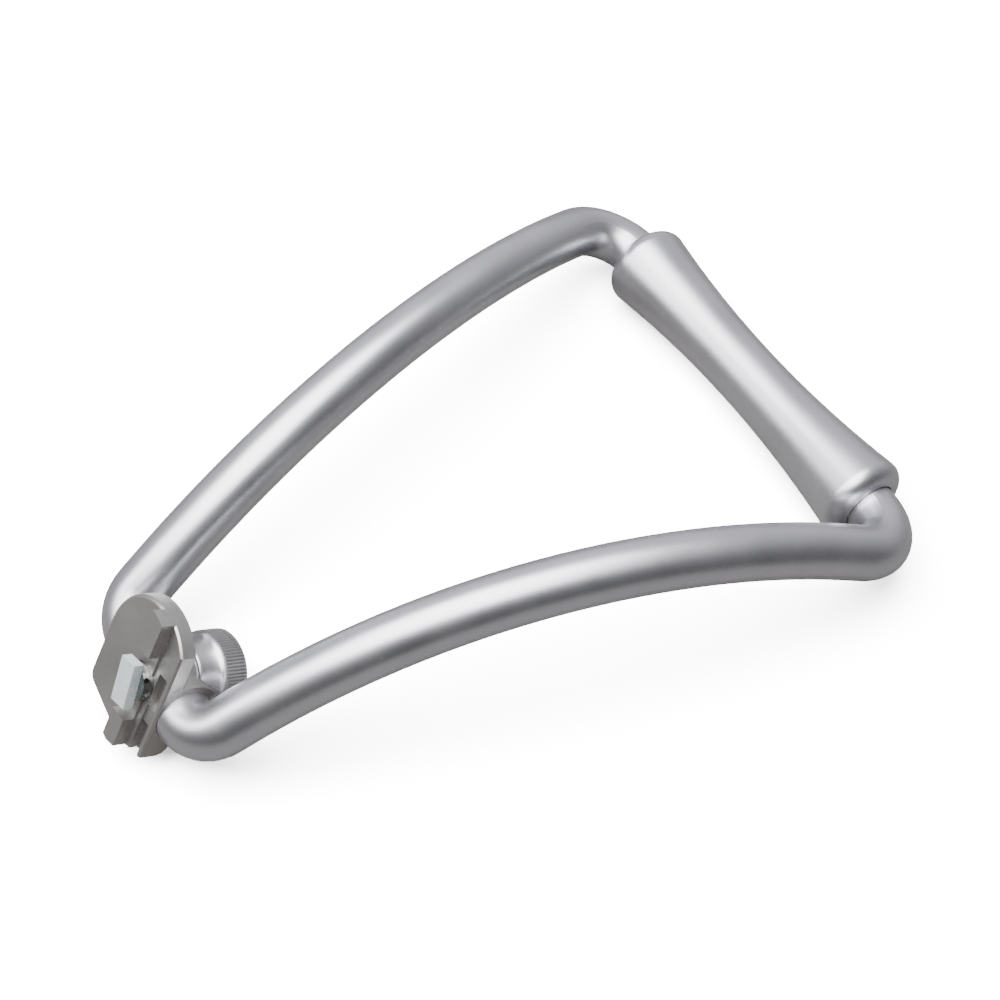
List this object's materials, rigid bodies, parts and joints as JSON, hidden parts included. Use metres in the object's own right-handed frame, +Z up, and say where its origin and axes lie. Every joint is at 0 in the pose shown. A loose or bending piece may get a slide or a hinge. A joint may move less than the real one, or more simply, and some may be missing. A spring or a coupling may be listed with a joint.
{
  "type": "arched loop support with rail clamp",
  "caption": "Arched tubular loop with a spool-shaped cross grip, joined to a rail clamp with a T-nut and a knurled hand knob.",
  "frame": {"origin": "clamp screw axis where it crosses the clamp plate's seat face", "axes": "+X from the clamp to the cross grip, +Y towards the left leg, +Z up from the surface the part stands on"},
  "size_m": [0.2346, 0.1634, 0.0509],
  "materials": {
    "anodised": "bead-blasted, satin silver",
    "casting": "fine blasted grey",
    "nut_metal": "zinc plated",
    "knob_metal": "turned, satin",
    "stud_metal": "plain steel",
    "bush_plastic": "natural acetal",
    "spring_metal": "drawn wire"
  },
  "bodies": {
    "loop": {"hub_casting": "casting", "left_tube": "anodised", "right_tube": "anodised", "cross_rod": "anodised", "left_bush": "bush_plastic", "right_bush": "bush_plastic", "thrust_washer": "nut_metal"},
    "grip": {"grip_sleeve": "anodised"},
    "knob": {"knob": "knob_metal", "clamp_stud": "stud_metal"},
    "nut_guide": {"spring_seat": "stud_metal", "nut_spring": "spring_metal"},
    "rail_nut": {"rail_nut": "nut_metal"}
  },
  "joints": [
    {"name": "grip_spin", "type": "hinge", "parent": "loop", "child": "grip", "pos_m": [0.20669, 0.0031, -0.0115], "axis": [0, 1, 0], "continuous": true},
    {"name": "knob_turn", "type": "hinge", "parent": "loop", "child": "knob", "pos_m": [0, 0, 0], "axis": [-0.8163, 0, 0.5777], "range_deg": [0, 576]},
    {"name": "nut_slide", "type": "slide", "parent": "loop", "child": "nut_guide", "axis": [0.8163, 0, -0.5777], "range_m": [0, 0.00161]},
    {"name": "nut_swivel", "type": "hinge", "parent": "nut_guide", "child": "rail_nut", "pos_m": [0, 0, 0], "axis": [0.8163, 0, -0.5777], "continuous": true}
  ],
  "couplings": [
    {"joint": "nut_slide", "follows": "knob_turn", "m_per_rad": 0.00015915}
  ]
}
